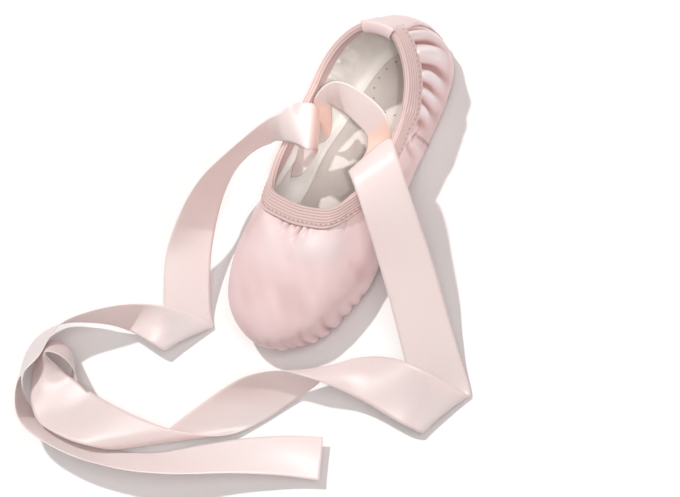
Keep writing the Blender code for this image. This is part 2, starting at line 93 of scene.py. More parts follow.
# Each row is one place along a ribbon, from the shoe to its free end, with its two edges in mm.
# edge_x, edge_y, edge_z, other_x, other_y, other_z
LEFT_ROUTE = [
    (-30.2, 9.0, 26.0, -30.7, -6.0, 15.0),
    (-24.0, 12.5, 28.0, -20.0, -4.0, 21.5),
    (-17.0, 19.5, 34.0, -14.2, 7.5, 28.0),
    (-15.8, 25.8, 43.0, -9.6, 6.7, 36.0),
    (-17.2, 25.4, 48.5, -9.4, 2.7, 42.0),
    (-22.0, 23.3, 50.0, -12.9, 2.9, 43.0),
    (-23.2, 19.3, 55.7, -21.1, 4.7, 40.3),
    (-29.0, 14.1, 52.4, -29.4, 4.6, 38.6),
    (-32.8, 10.8, 52.4, -36.4, 4.8, 34.6),
    (-36.4, 6.4, 52.1, -42.8, 4.9, 27.9),
    (-44.0, -1.9, 48.9, -51.4, 0.9, 25.1),
    (-53.4, -15.2, 45.9, -59.4, -10.1, 22.1),
    (-61.7, -28.1, 42.8, -62.2, -19.7, 19.2),
    (-68.2, -42.5, 36.5, -61.5, -32.0, 17.5),
    (-72.9, -56.8, 28.4, -58.3, -45.9, 15.6),
    (-74.4, -69.1, 21.9, -55.5, -58.5, 12.1),
    (-70.1, -83.4, 17.0, -50.8, -72.6, 7.0),
    (-66.2, -94.8, 12.0, -46.8, -82.3, 3.4),
    (-61.3, -105.9, 8.5, -43.2, -88.6, 1.5),
    (-56.6, -114.0, 6.0, -39.9, -92.2, 1.2),
    (-59.9, -113.8, 9.6, -42.9, -90.1, 5.1),
    (-67.8, -112.7, 11.2, -57.5, -91.3, 11.6),
    (-83.8, -110.3, 6.9, -74.5, -96.6, 18.5),
    (-99.5, -110.4, 4.5, -87.7, -104.5, 23.5),
    (-113.5, -113.4, 3.5, -99.9, -112.5, 24.5),
    (-126.4, -117.4, 2.7, -113.4, -122.7, 23.3),
    (-134.7, -124.8, 3.7, -118.0, -133.4, 20.3),
    (-138.4, -134.5, 5.1, -119.0, -142.1, 18.9),
    (-139.6, -144.4, 3.4, -121.5, -150.0, 19.6),
    (-137.4, -153.6, 1.2, -122.9, -158.8, 20.8),
    (-130.0, -161.8, 1.0, -117.6, -170.3, 21.0),
    (-117.3, -168.8, 0.6, -108.0, -179.2, 21.4),
    (-101.1, -172.4, 1.2, -90.6, -183.7, 20.8),
    (-82.1, -173.9, 2.1, -68.6, -185.1, 19.9),
    (-65.5, -172.7, 2.4, -51.1, -183.6, 19.6),
    (-48.5, -169.0, 2.7, -34.4, -181.2, 19.3),
    (-31.9, -163.3, 2.7, -17.6, -176.6, 18.3),
    (-16.4, -155.0, 3.8, -1.2, -170.5, 16.2),
    (-0.3, -146.5, 4.3, 14.1, -163.5, 13.7),
    (17.4, -138.5, 4.9, 30.9, -157.0, 11.1),
    (35.7, -131.8, 6.0, 47.7, -151.3, 8.0),
    (53.4, -126.6, 6.3, 62.6, -147.5, 5.7),
]
RIGHT_ROUTE = [
    (-29.6, 22.5, 26.0, -29.6, 16.0, 13.0),
    (-25.0, 22.5, 29.5, -26.2, 17.0, 13.5),
    (-20.5, 23.0, 32.5, -21.5, 19.0, 15.5),
    (-17.6, 22.4, 36.0, -17.8, 22.5, 20.0),
    (-19.5, 26.4, 41.0, -18.1, 28.8, 25.0),
    (-17.2, 27.7, 48.1, -20.1, 34.9, 28.9),
    (-12.5, 34.3, 52.8, -16.6, 33.4, 30.2),
    (-6.1, 39.4, 53.2, -9.0, 31.2, 33.8),
    (5.5, 38.7, 52.5, -1.8, 28.8, 36.5),
    (14.7, 36.8, 48.6, 3.3, 26.6, 35.4),
    (22.3, 33.7, 43.8, 8.6, 24.5, 32.2),
    (25.7, 29.1, 38.6, 11.1, 21.9, 29.4),
    (26.1, 25.2, 32.7, 14.0, 14.5, 29.3),
    (25.4, 21.8, 30.5, 14.8, 5.9, 32.7),
    (26.2, 21.6, 37.4, 16.0, 0.2, 37.6),
    (30.9, 22.5, 40.2, 17.8, -1.5, 41.8),
    (38.5, 15.7, 41.7, 23.8, -5.6, 45.3),
    (45.4, 8.1, 39.9, 30.2, -11.9, 44.1),
    (55.0, -3.5, 34.0, 39.5, -22.1, 41.0),
    (67.5, -18.1, 27.0, 51.2, -36.3, 35.0),
    (79.3, -32.4, 20.2, 62.5, -51.1, 27.8),
    (88.5, -45.2, 13.5, 71.3, -64.0, 20.0),
    (97.5, -56.8, 8.1, 80.6, -77.9, 12.3),
    (105.9, -67.6, 3.2, 91.1, -91.5, 6.3),
    (117.0, -80.4, 1.0, 103.4, -106.7, 2.2),
    (112.8, -80.2, 5.0, 98.9, -107.1, 6.2),
    (105.4, -79.8, 8.8, 92.8, -107.0, 8.8),
    (93.6, -78.9, 13.0, 82.7, -105.6, 9.4),
    (80.8, -77.9, 14.1, 69.3, -103.5, 10.9),
    (68.9, -78.6, 11.6, 56.9, -102.7, 13.0),
    (58.9, -80.2, 8.5, 45.6, -103.1, 17.5),
    (51.2, -84.4, 9.7, 35.7, -104.0, 20.3),
    (44.9, -90.4, 11.6, 22.5, -105.0, 19.4),
    (40.1, -95.1, 8.2, 11.7, -109.1, 18.8),
    (35.1, -100.1, 2.9, 2.7, -114.4, 18.1),
    (28.6, -109.8, 2.0, -6.9, -121.1, 14.0),
    (22.2, -118.5, 1.2, -16.4, -130.0, 10.0),
    (16.0, -126.9, 1.2, -25.0, -139.7, 7.0),
    (9.2, -134.6, 1.8, -33.4, -150.0, 4.0),
    (2.3, -141.4, 3.5, -41.5, -160.7, 2.2),
    (-6.1, -146.4, 6.5, -50.5, -167.2, 3.2),
    (-17.2, -149.8, 9.0, -57.3, -172.2, 7.0),
    (-33.3, -151.9, 10.0, -65.4, -174.9, 11.0),
    (-50.2, -151.9, 10.0, -74.2, -176.5, 13.0),
    (-65.4, -150.9, 9.5, -84.8, -176.8, 13.5),
    (-82.3, -148.8, 6.3, -94.8, -175.8, 13.7),
    (-94.4, -146.6, 8.3, -105.3, -173.6, 12.7),
    (-105.3, -144.1, 9.3, -114.3, -165.9, 12.7),
    (-110.2, -142.6, 16.5, -124.3, -154.2, 8.5),
    (-112.9, -141.5, 23.3, -130.3, -142.0, 5.7),
    (-110.9, -140.1, 25.6, -127.6, -132.0, 9.4),
    (-102.1, -139.6, 27.4, -117.7, -129.7, 10.6),
    (-95.8, -140.9, 25.0, -110.6, -131.5, 9.0),
    (-92.5, -143.6, 20.2, -107.7, -135.2, 5.8),
    (-91.5, -147.0, 15.5, -105.8, -143.2, 3.5),
]


def sheet(name, rows):
    """A sheet through rows of points, and for each of its points the number of its column and row."""
    across = rows.shape[1] - 1
    along = len(rows) - 1
    bpy.ops.object.select_all(action="DESELECT")
    bpy.ops.mesh.primitive_grid_add(x_subdivisions=across, y_subdivisions=along, size=1.0)
    piece = bpy.context.object
    piece.name = name
    piece.data.name = name
    flat = np.empty(len(piece.data.vertices) * 3)
    piece.data.vertices.foreach_get("co", flat)
    flat = flat.reshape(-1, 3) + 0.5
    column = np.rint(flat[:, 0] * across).astype(int)
    row = np.rint(flat[:, 1] * along).astype(int)
    piece.data.vertices.foreach_set("co", rows[row, column].ravel())
    piece.data.update()
    return piece, column, row


def finish_mesh(piece, merge=0.0):
    """Merge the doubles, turn the faces outwards and shade them smooth."""
    bpy.ops.object.select_all(action="DESELECT")
    bpy.context.view_layer.objects.active = piece
    piece.select_set(True)
    bpy.ops.object.mode_set(mode="EDIT")
    bpy.ops.mesh.select_all(action="SELECT")
    if merge:
        bpy.ops.mesh.remove_doubles(threshold=merge)
    bpy.ops.mesh.normals_make_consistent(inside=False)
    bpy.ops.object.mode_set(mode="OBJECT")
    bpy.ops.object.shade_smooth()


def thicken(piece, thickness):
    """Give a sheet its thickness, half of it to each side."""
    wall = piece.modifiers.new("wall", "SOLIDIFY")
    wall.thickness = thickness
    wall.offset = 0.0
    bpy.context.view_layer.objects.active = piece
    bpy.ops.object.modifier_apply(modifier="wall")


def mark(piece, name, values):
    """Keep one value for each point of a piece, for its material to read."""
    kept = piece.data.attributes.new(name, "FLOAT", "POINT")
    kept.data.foreach_set("value", values.astype(np.float32))


def travel(points):
    """Distance of each point from the first, along the line through them."""
    return np.concatenate([[0.0], np.cumsum(np.linalg.norm(np.diff(points, axis=0), axis=1))])


def unit(vectors):
    return vectors / np.linalg.norm(vectors, axis=-1, keepdims=True)


def smooth_rows(rows, spans):
    """Rows between the given ones on a curve that goes through each and doesn't overshoot."""
    steps = np.linalg.norm(np.diff(rows, axis=0), axis=1) ** 0.5
    knots = np.concatenate([[0.0], np.cumsum(steps)])
    ahead = np.diff(rows, axis=0) / np.diff(knots)[:, None]
    before = np.diff(knots)[:-1, None]
    after = np.diff(knots)[1:, None]
    between = (ahead[:-1] * after + ahead[1:] * before) / (before + after)
    slopes = np.concatenate([ahead[:1], between, ahead[-1:]])
    share = np.arange(spans)[:, None] / spans
    made = []
    for k in range(len(rows) - 1):
        wide = knots[k + 1] - knots[k]
        leaving = (1 + 2 * share) * rows[k] + share * wide * slopes[k]
        arriving = (3 - 2 * share) * rows[k + 1] - (1 - share) * wide * slopes[k + 1]
        made.append((1 - share) ** 2 * leaving + share**2 * arriving)
    return np.concatenate([*made, rows[-1:]])


def connect(made, node, sources):
    """Fill a node's sockets, by name or number. A source is a value or another node's output."""
    for socket, source in sources.items():
        if isinstance(source, bpy.types.NodeSocket):
            made.node_tree.links.new(source, node.inputs[socket])
        else:
            node.inputs[socket].default_value = source


def add_node(made, kind, sources, **options):
    """One new node of a material, with its options set and its sockets filled."""
    node = made.node_tree.nodes.new("ShaderNode" + kind)
    for option, choice in options.items():
        setattr(node, option, choice)
    connect(made, node, sources)
    return node


def noise(made, place, scale, detail):
    return add_node(made, "TexNoise", {"Vector": place, "Scale": scale, "Detail": detail}).outputs["Fac"]


def stored(made, name):
    """What a piece keeps for each of its points under this name."""
    return add_node(made, "Attribute", {}, attribute_name=name).outputs["Fac"]


def calculate(made, operation, *terms):
    return add_node(made, "Math", dict(enumerate(terms)), operation=operation).outputs[0]


def mix_dyes(made, share, first, second):
    """The first colour where the share is 0 and the second where it is 1."""
    return add_node(made, "Mix", {0: share, 6: first, 7: second}, data_type="RGBA").outputs[2]


def raised(made, height, strength, depth):
    """The direction of a surface that this height raises."""
    sources = {"Height": height, "Strength": strength, "Distance": depth}
    return add_node(made, "Bump", sources).outputs["Normal"]


def new_material(name):
    made = bpy.data.materials.new(name)
    made.use_nodes = True
    return made


def coat(made, sources):
    """Fill the sockets of the material's own shader."""
    connect(made, made.node_tree.nodes["Principled BSDF"], sources)
    return made


def tinted(color, by):
    """The colour with its channels multiplied by one number, or each by its own."""
    return (*(np.array(color[:3]) * by), 1.0)


def ribbon_satin(name, length, painted_shade):
    """Satin with a fine diagonal weave, pale in clouds, and painted peach glow for light through it."""
    made = new_material(name)
    chart = add_node(made, "UVMap", {}, uv_map="UVMap").outputs["UV"]
    sized = {"Vector": chart, "Scale": (RIBBON_WIDTH, length, 1.0)}
    place = add_node(made, "Mapping", sized).outputs["Vector"]
    tangent = add_node(made, "Tangent", {}, direction_type="UV_MAP", uv_map="UVMap")
    grain = noise(made, place, 1500.0, 3.0)
    diagonal = {"Vector": place, "Scale": 420.0, "Distortion": 1.5}
    twill = add_node(made, "TexWave", diagonal, bands_direction="DIAGONAL").outputs["Fac"]
    weave = add_node(made, "Mix", {0: 0.35, 2: grain, 3: twill}, data_type="FLOAT").outputs[0]
    clouded = calculate(made, "MULTIPLY", noise(made, place, 30.0, 2.0), weave)
    # Both dyes are multiplied by a number under 1 as painted shade, on a ribbon that faces away from the
    # sun.
    dye = mix_dyes(made, clouded, tinted(RIBBON_PINK, painted_shade), tinted(RIBBON_SHADE, painted_shade))
    return coat(
        made,
        {
            # Painted glow, mixed in where light comes through the ribbon.
            "Base Color": mix_dyes(made, stored(made, "painted_glow"), dye, RIBBON_PAINTED_GLOW),
            "Normal": raised(made, weave, 0.45, 0.00008),
            "Tangent": tangent.outputs["Tangent"],
            "Anisotropic": 0.60,
            "Roughness": 0.40,
            "Specular IOR Level": 0.55,
            "Sheen Weight": 0.25,
            "Sheen Roughness": 0.45,
            "Subsurface Weight": 0.60,
            "Subsurface Radius": (1.0, 0.72, 0.65),
            "Subsurface Scale": 0.0012,
        },
    )


def make_ribbon(name, route, cup, painted_glow, painted_shade):
    """A ribbon along its route, cupped across, more in some places than others.

    The stretches listed in rows of the route, where light comes through the ribbon, get a painted
    peach glow. Its dye is multiplied by the last number, which darkens a ribbon that faces away from
    the sun as painted shade.
    """
    edges = smooth_rows(np.array(route) / 1000.0, ROUTE_STEPS)
    for _ in range(ROUTE_SMOOTHING):
        edges[1:-1] = (edges[:-2] + 2 * edges[1:-1] + edges[2:]) / 4
    near = edges[:, :3]
    far = edges[:, 3:]
    middle = (near + far) / 2
    face = unit(np.cross(np.gradient(middle, axis=0), far - near))
    share = np.arange(RIBBON_COLUMNS + 1) / RIBBON_COLUMNS
    points = near[:, None] * (1 - share[:, None]) + far[:, None] * share[:, None]
    travelled = travel(middle)
    sway = np.sin(2 * travelled / CUP_LENGTH + 5000 * cup)
    cupped = cup * np.outer(0.6 + 0.4 * sway, 4 * share * (1 - share))
    points += face[:, None] * cupped[..., None]
    points[..., 2] = np.maximum(points[..., 2], RIBBON_THICKNESS / 2 + ABOVE_FLOOR)
    piece, _, row = sheet("satin_" + name, points)
    place = row / ROUTE_STEPS
    # How much painted peach glow each point gets, most in the middle of a listed stretch.
    glow = np.zeros(len(row))
    for first, last in painted_glow:
        off = np.abs(place - (first + last) / 2) / ((last - first) / 2)
        glow += np.clip(1.6 - 1.1 * off, 0.0, 1.0)
    mark(piece, "painted_glow", glow)
    finish_mesh(piece)
    thicken(piece, RIBBON_THICKNESS)
    length = float(travelled[-1])
    piece.data.materials.append(ribbon_satin(name, length, painted_shade))
    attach(piece, "root")
    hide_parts(name)


# The right ribbon's dye is darkened to 0.93 as painted shade, and the listed stretches of each get a
# painted peach glow.
make_ribbon("ribbon_left", LEFT_ROUTE, 0.0006, [(2.0, 3.8)], 1.0)
make_ribbon("ribbon_right", RIGHT_ROUTE, -0.0006, [(2.2, 4.8), (10.6, 12.8)], 0.93)

# Upper
# Pink satin bonded to a cream cotton lining, cut in one piece, closed at the back and drawn in round
# the collar by its elastic. Underneath, its lower edge is gathered in small pleats into the two pads.
LENGTH = 0.190
HALF_WIDTH = 0.0393
HEIGHT = 0.0508
MIDDLE = 0.0956
TOP_OF_PADS = 0.0018
WALL = 0.0014
GAP = 0.0003
ARCH = 0.0032
ARCH_START = -0.010
ARCH_LENGTH = 0.050
TOE_SPRING = 0.0022
TOE_LIFT_START = -0.067
TOE_LIFT_LENGTH = 0.019
FOOT_TOE = -0.0857
MIDDLE_TOE = -0.059
MIDDLE_SHARE = 0.75
# How full the side is below and above its widest place, and at the rim.
FULL_LOW = 0.6
FULL_HIGH = 0.55
FULL_RIM = 0.42
UP = np.array([0.0, 0.0, 1.0])
# Satin colours: a painted highlight for the ridges of folds, the satin's own pink, and a painted shade for
# their troughs.
SATIN_PAINTED_RIDGE_HIGHLIGHT = (0.900, 0.780, 0.785, 1.0)
SATIN_PINK = (0.835, 0.615, 0.612, 1.0)
SATIN_PAINTED_CREASE_SHADE = (0.480, 0.240, 0.225, 1.0)
LINING_CREAM = (0.950, 0.920, 0.890, 1.0)

# One row for each meridian of the right half, from the toe tip to the heel's back, in shares of the
# half width, length and height. Lean is in degrees from the vertical, at the rim.
# foot_across, foot_along, belly_across, belly_along, belly_up, rim_across, rim_along, rim_up, lean
SECTIONS = [
    (0.000, 0.052, 0.000, 0.000, 0.299, 0.000, 0.362, 0.785, 79),
    (0.290, 0.072, 0.389, 0.024, 0.299, 0.283, 0.367, 0.796, 78),
    (0.551, 0.120, 0.722, 0.085, 0.295, 0.505, 0.380, 0.804, 72),
    (0.725, 0.195, 0.925, 0.182, 0.280, 0.633, 0.425, 0.776, 54),
    (0.797, 0.285, 1.000, 0.285, 0.258, 0.727, 0.481, 0.721, 38),
    (0.725, 0.412, 0.918, 0.412, 0.224, 0.768, 0.547, 0.692, 31),
    (0.664, 0.547, 0.845, 0.546, 0.187, 0.775, 0.615, 0.692, 29),
    (0.640, 0.682, 0.773, 0.682, 0.168, 0.751, 0.693, 0.729, 32),
    (0.616, 0.800, 0.732, 0.807, 0.161, 0.671, 0.779, 0.834, 35),
    (0.498, 0.901, 0.609, 0.922, 0.168, 0.478, 0.849, 0.940, 36),
    (0.266, 0.957, 0.333, 0.984, 0.187, 0.242, 0.890, 0.991, 37),
    (0.000, 0.974, 0.000, 1.000, 0.187, 0.000, 0.897, 1.000, 38),
]
COLUMN_SIZES = [HALF_WIDTH, LENGTH, HALF_WIDTH, LENGTH, HEIGHT, HALF_WIDTH, LENGTH, HEIGHT, 1]

right_half = np.array(SECTIONS) * COLUMN_SIZES
right_half[:, [1, 3, 6]] -= MIDDLE
right_half[:, 8] = np.radians(right_half[:, 8])
left_half = right_half[-2:0:-1].copy()
left_half[:, [0, 2, 5]] *= -1
MERIDIAN_ROWS = np.vstack([right_half, left_half])
step = np.eye(len(MERIDIAN_ROWS))
around = 4 * step + np.roll(step, 1, axis=1) + np.roll(step, -1, axis=1)
second = np.roll(MERIDIAN_ROWS, 1, axis=0) - 2 * MERIDIAN_ROWS + np.roll(MERIDIAN_ROWS, -1, axis=0)
MERIDIAN_BENDS = np.linalg.solve(around, 6 * second)


def meridian(turn):
    """The table's columns at each turn, on the smooth closed curve through its rows."""
    place = (turn % 1.0) * len(MERIDIAN_ROWS)
    low = np.floor(place).astype(int) % len(MERIDIAN_ROWS)
    high = (low + 1) % len(MERIDIAN_ROWS)
    part = (place - np.floor(place))[..., None]
    straight = MERIDIAN_ROWS[low] * (1 - part) + MERIDIAN_ROWS[high] * part
    curve = MERIDIAN_BENDS[low] * ((1 - part) ** 3 - (1 - part))
    curve = curve + MERIDIAN_BENDS[high] * (part**3 - part)
    return straight + curve / 6


def underside(along):
    """Height of the upper's underside: level over the pads, raised at the arch and the toe."""
    toe = np.maximum(0.0, TOE_LIFT_START - along) / TOE_LIFT_LENGTH
    arch = np.clip((along - ARCH_START) / ARCH_LENGTH, 0.0, 1.0)
    return TOP_OF_PADS + GAP + TOE_SPRING * toe**2 + ARCH * np.sin(np.pi * arch) ** 2


def bezier(a, b, c, d, share):
    """Points of the curve from a to d that leaves towards b and arrives from c."""
    rest = 1 - share
    return rest**3 * a + 3 * rest**2 * share * b + 3 * rest * share**2 * c + share**3 * d


def skin(turn, level):
    """Points of the outer skin: level -1 is the bottom edge, 0 the widest place, 1 the rim."""
    turn, level = np.broadcast_arrays(turn, level)
    row = meridian(turn)
    share = level[..., None]
    foot = np.stack([row[..., 0], row[..., 1], underside(row[..., 1])], axis=-1)
    belly = row[..., 2:5]
    rim = row[..., 5:8]
    side = belly - foot
    flat = side * [1, 1, 0]
    rise = side * [0, 0, 1]
    low_share = np.minimum(share, 0.0) + 1
    lower = bezier(foot, foot + FULL_LOW * flat, belly - FULL_LOW * rise, belly, low_share)
    inward = rim - belly
    chord = np.linalg.norm(inward, axis=-1, keepdims=True)
    lift = inward * [0, 0, FULL_HIGH]
    inward = unit(inward * [1, 1, 0])
    lean = row[..., 8:9]
    slope = inward * np.sin(lean) + UP * np.cos(lean)
    upper = bezier(belly, belly + lift, rim - FULL_RIM * chord * slope, rim, np.maximum(share, 0.0))
    return np.where(share < 0, lower, upper)


def skin_normal(turn, level):
    """The direction straight out of the skin, from small steps along it and up it."""
    level = np.clip(level, -0.998, 0.998)
    ahead = skin(turn + 0.002, level) - skin(turn - 0.002, level)
    upward = skin(turn, level + 0.001) - skin(turn, level - 0.001)
    return unit(np.cross(ahead, upward))


PROFILE_TURNS = np.linspace(0.0, 1.0, 353)
PROFILE_LEVELS = np.linspace(1.0, -1.0, 81)
profile_points = skin(PROFILE_TURNS[:, None], PROFILE_LEVELS[None, :])
profile_steps = np.linalg.norm(np.diff(profile_points, axis=1), axis=2)
PROFILE_DOWN = np.pad(np.cumsum(profile_steps, axis=1), ((0, 0), (1, 0)))
PROFILE_UP = unit(profile_points[:, 0] - profile_points[:, 1])


def way_down(turn):
    """Distance from the rim to each profile level at one turn, between the worked-out meridians."""
    place = (turn % 1.0) * (len(PROFILE_TURNS) - 1)
    low = int(place)
    part = place - low
    high = min(low + 1, len(PROFILE_TURNS) - 1)
    return PROFILE_DOWN[low] * (1 - part) + PROFILE_DOWN[high] * part


def levels_at(turns, down):
    """Level at this distance down from the rim, for each turn. Both are lists of the same length."""
    return np.array([np.interp(d, way_down(t), PROFILE_LEVELS) for t, d in zip(turns, down)])


def wrap(turns, down, out):
    """Points so far down from the rim along the skin, moved out of it. Down is under 0 above the rim."""
    turns = np.asarray(turns, float)
    down = np.broadcast_to(np.asarray(down, float), turns.shape)
    out = np.broadcast_to(np.asarray(out, float), turns.shape)
    levels = levels_at(turns, np.maximum(down, 0.0))
    points = skin(turns, levels) + out[:, None] * skin_normal(turns, levels)
    number = np.rint((turns % 1.0) * (len(PROFILE_TURNS) - 1)).astype(int)
    return points + np.maximum(-down, 0.0)[:, None] * PROFILE_UP[number]


def floor_points(turns, share):
    """Points of the upper's floor: share 1 is the bottom edge and 0 the middle line."""
    row = meridian(turns)
    middle_along = MIDDLE_TOE + (row[..., 1] - FOOT_TOE) * MIDDLE_SHARE
    across = row[..., 0] * share
    along = middle_along * (1 - share) + row[..., 1] * share
    return np.stack([across, along, underside(along)], axis=-1)


# The folds that show, listed one by one. A fold runs from one place to the other and dies out at both
# ends. Down, width and height are in mm, and a height under 0 is a trough.
# turn, down, end_turn, end_down, width, height
SATIN_FOLDS = [
    (0.427, 9.0, 0.426, 38.0, 1.4, -2.7),
    (0.408, 10.5, 0.406, 34.0, 3.2, 2.7),
    (0.3885, 9.0, 0.3905, 39.0, 1.5, -3.0),
    (0.3765, 10.5, 0.378, 33.0, 2.4, 2.5),
    (0.3655, 9.0, 0.370, 36.0, 1.3, -2.8),
    (0.356, 10.5, 0.360, 31.0, 2.1, 2.3),
    (0.3465, 9.0, 0.352, 34.0, 1.3, -2.5),
    (0.338, 10.5, 0.343, 27.0, 2.0, 2.0),
    (0.329, 9.0, 0.335, 28.0, 1.2, -2.0),
    (0.319, 11.0, 0.326, 14.0, 0.9, -1.0),
    (0.308, 14.0, 0.330, 18.5, 0.9, -1.2),
    (0.3115, 10.0, 0.309, 34.0, 1.0, 1.0),
    (0.304, 12.0, 0.302, 27.0, 1.3, -0.8),
    (0.445, 9.5, 0.445, 34.0, 2.6, 1.5),
    (0.456, 9.0, 0.454, 32.0, 1.3, -1.8),
    (0.573, 9.0, 0.574, 28.0, 1.3, -2.4),
    (0.592, 10.5, 0.594, 25.0, 3.2, 2.3),
    (0.611, 9.0, 0.609, 30.0, 1.4, -2.6),
    (0.623, 10.5, 0.621, 25.0, 2.3, 2.1),
    (0.634, 9.0, 0.629, 28.0, 1.2, -2.4),
    (0.645, 10.5, 0.640, 24.0, 2.0, 1.9),
    (0.656, 9.0, 0.650, 24.0, 1.2, -2.1),
    (0.672, 9.0, 0.668, 20.0, 1.1, -1.5),
    (0.692, 14.0, 0.670, 18.5, 1.0, -1.0),
    (0.978, 9.0, 0.972, 13.5, 0.8, -0.7),
    (0.995, 9.0, 0.985, 15.0, 0.9, -1.0),
    (0.009, 9.0, 0.004, 13.0, 0.8, -0.8),
    (0.024, 9.0, 0.012, 17.0, 0.9, -1.6),
    (0.029, 10.0, 0.022, 18.0, 1.6, 0.6),
    (0.038, 9.0, 0.035, 14.0, 0.8, -0.9),
    (0.052, 9.0, 0.050, 12.0, 0.8, -0.4),
    (0.130, 9.0, 0.128, 16.0, 1.2, -0.5),
    # These broad, low folds on the vamp mostly paint its colour: a band of painted highlight across it and
    # painted shade beside it.
    (0.050, 18.0, 0.125, 22.0, 5.0, 0.4),
    (0.045, 22.0, 0.210, 24.0, 9.0, 0.5),
    (0.045, 22.0, 0.890, 26.0, 9.0, 0.5),
    (0.050, 45.0, 0.200, 42.0, 8.0, -0.2),
    (0.050, 45.0, 0.900, 46.0, 8.0, -0.2),
    (0.020, 27.0, 0.115, 34.0, 4.0, -0.3),
    (0.930, 14.0, 0.995, 30.0, 6.0, 0.5),
    (0.150, 36.0, 0.190, 50.0, 3.0, -0.4),
    (0.230, 12.0, 0.300, 26.0, 3.0, -0.7),
    (0.245, 20.0, 0.290, 30.0, 2.6, 0.8),
    (0.190, 14.0, 0.235, 34.0, 3.5, 0.5),
    (0.770, 14.0, 0.720, 24.0, 3.2, -0.9),
    (0.730, 12.0, 0.705, 30.0, 2.4, 0.7),
    (0.800, 18.0, 0.760, 36.0, 3.6, 0.6),
    (0.830, 12.0, 0.810, 30.0, 2.4, -0.5),
]
# Long creases that run up from the gathered toe edge. Up is the distance from the bottom edge.
# turn, end_turn, up_mm, width_mm, height_mm
TOE_CREASES = [
    (0.002, 0.001, 20.0, 0.9, -1.1),
    (0.022, 0.021, 22.0, 1.0, -1.4),
    (0.033, 0.032, 20.0, 1.8, 0.7),
    (0.043, 0.042, 22.0, 1.0, -1.4),
    (0.055, 0.053, 20.0, 0.9, -1.0),
    (0.069, 0.068, 24.0, 1.0, -1.6),
    (0.077, 0.076, 20.0, 2.0, 0.7),
    (0.085, 0.084, 22.0, 1.0, -1.2),
    (0.096, 0.095, 20.0, 2.2, 0.5),
    (0.104, 0.101, 24.0, 1.1, -1.9),
    (0.114, 0.112, 18.0, 2.2, 0.4),
    (0.124, 0.123, 20.0, 1.0, -1.2),
    (0.143, 0.140, 19.0, 1.1, -1.3),
    (0.162, 0.156, 15.0, 1.2, -0.9),
    (0.991, 0.991, 12.0, 0.9, -0.9),
    (0.972, 0.974, 12.0, 1.0, -0.9),
    (0.950, 0.955, 14.0, 1.2, -1.1),
    (0.922, 0.936, 18.0, 1.4, -1.5),
    (0.908, 0.922, 16.0, 2.2, 0.8),
    (0.896, 0.912, 18.0, 1.4, -1.6),
    (0.862, 0.880, 18.0, 1.5, -1.4),
    (0.836, 0.846, 14.0, 1.5, -0.9),
]
# Soft folds of the lining, with the same columns as SATIN_FOLDS.
LINING_FOLDS = [
    (0.745, 10.0, 0.800, 34.0, 4.5, 2.4),
    (0.715, 12.0, 0.760, 32.0, 3.0, -1.0),
    (0.680, 12.0, 0.700, 30.0, 4.0, 1.2),
    (0.640, 12.0, 0.655, 34.0, 4.0, 0.9),
    (0.590, 12.0, 0.600, 40.0, 5.0, 0.8),
    (0.250, 10.0, 0.235, 30.0, 4.0, 0.9),
    (0.310, 10.0, 0.300, 28.0, 4.0, 0.8),
    (0.380, 10.0, 0.370, 34.0, 4.0, 0.9),
    (0.440, 10.0, 0.440, 40.0, 5.0, 0.8),
]
GIRTH = float(travel(skin(PROFILE_TURNS, np.zeros(len(PROFILE_TURNS))))[-1])


def folds(table, turns, away, wider=1.0):
    """Height of all the folds of a table. Away is each point's distance from the rim or the edge.

    A fold is full to 0.45 of its way and fades out by 1.2 of it, while it gets 1.8 times as wide.
    """
    total = np.zeros(turns.shape)
    for turn, start, end_turn, end, width, height in table:
        width = wider * width / 1000
        below = away - start / 1000
        along = ((turns - turn + 0.5) % 1.0 - 0.5) * GIRTH
        reach = np.array([((end_turn - turn + 0.5) % 1.0 - 0.5) * GIRTH, (end - start) / 1000])
        long = np.linalg.norm(reach)
        way = reach / long
        on = along * way[0] + below * way[1]
        off = below * way[0] - along * way[1]
        share = np.clip(on / long, -1.0, 2.0)
        beyond = np.maximum(np.maximum(-on, on - long), 0.0)
        fade = np.where(share > 0.45, np.clip((1.2 - share) / 0.75, 0.0, 1.0) ** 1.5, 1.0)
        spread = width * (1.0 + 0.8 * np.clip(share, 0.0, 1.0))
        total += height / 1000 * fade * np.exp(-((off / spread) ** 2) - (beyond / (1.2 * width)) ** 2)
    return total


def ripple(points, size, seed):
    """Smooth unevenness from a few crossing waves, between -1 and 1, the same on every run."""
    random = np.random.default_rng(seed)
    total = np.zeros(points.shape[:-1])
    for _ in range(14):
        way = random.normal(size=3)
        way *= random.uniform(0.6, 1.7) / np.linalg.norm(way)
        total += np.sin(points @ way * (2 * np.pi / size) + random.uniform(0, 2 * np.pi))
    return total / 14**0.5 / 1.8


AROUND = 480
OUTSIDE_ROWS = 116
INSIDE_ROWS = 40
FLOOR_SHARES = [0.97, 0.93, 0.88, 0.82, 0.74, 0.62, 0.48, 0.32, 0.16, 0.0]
CREASE_START_MM = -2.0
PLEATS_ROUND = 92
PLEAT_HEIGHT = 0.00085
PLEAT_REACH = 0.0085
PLEAT_PULL = 0.0007
PUCKERS_ROUND = 110
PUCKER_HEIGHT = 0.00018
PUCKER_DOWN = 0.0105
# Height, size and seed of the satin's slight unevenness.
UNEVEN = [(0.00034, 0.034, 3), (0.00015, 0.013, 8)]
BAND_EDGE = 0.006
BAND_FADE = 0.003
LINING_LOOSE = 0.0004
MERGE = 0.00001

turns = np.arange(AROUND + 1) / AROUND
ways = np.array([way_down(t) for t in turns])
whole = ways[:, -1]


